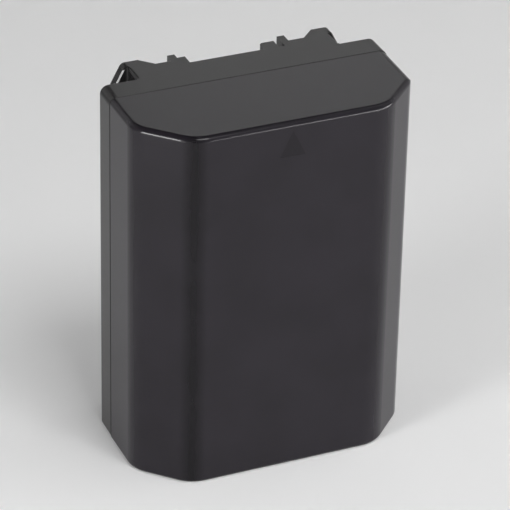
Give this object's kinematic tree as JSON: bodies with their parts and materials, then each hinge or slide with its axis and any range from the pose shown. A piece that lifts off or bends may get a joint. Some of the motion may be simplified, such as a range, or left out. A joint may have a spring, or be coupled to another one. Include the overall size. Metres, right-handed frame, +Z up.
{
  "type": "camera battery",
  "caption": "Slim rechargeable camera battery with large chamfered front corners, a welded rear cover with side guide grooves, and a recessed terminal bay at its upper end.",
  "frame": {"origin": "centre of the box at the base, on the surface the battery stands on", "axes": "+Z up to the terminal end, +Y out of the back with the guide grooves, X across the width"},
  "size_m": [0.0386, 0.0228, 0.0517],
  "materials": {
    "case_plastic": "satin fine-textured moulding, charcoal black",
    "cover_plastic": "satin fine-textured moulding, charcoal black",
    "cell_sleeve": "shrunk sleeve, semi-gloss",
    "insulating_paper": "waxed paper",
    "nickel_strip": "bright rolled nickel",
    "contact_plating": "thin gold plate, satin",
    "board_resin": "solder mask, semi-gloss",
    "package_resin": "moulded resin, matt",
    "fuse_ceramic": "bare ceramic",
    "capacitor_ceramic": "bare ceramic",
    "sensor_resin": "dipped resin",
    "holder_plastic": "moulded, matt",
    "foam": "closed-cell foam"
  },
  "bodies": {
    "root": {"front_case": "case_plastic", "rear_cover": "cover_plastic", "left_cell": "cell_sleeve", "right_cell": "cell_sleeve", "left_cell_washer": "insulating_paper", "right_cell_washer": "insulating_paper", "insulating_sheet": "insulating_paper", "positive_strip": "nickel_strip", "negative_strip": "nickel_strip", "series_link": "nickel_strip", "positive_contact": "contact_plating", "data_contact": "contact_plating", "sensor_contact": "contact_plating", "negative_contact": "contact_plating", "circuit_board": "board_resin", "gauge_chip": "package_resin", "power_switch": "package_resin", "sense_resistor": "package_resin", "protection_fuse": "fuse_ceramic", "chip_capacitors": "capacitor_ceramic", "chip_resistors": "package_resin", "temperature_sensor": "sensor_resin", "terminal_holder": "holder_plastic", "base_pad": "foam", "top_pad": "foam"}
  },
  "joints": []
}
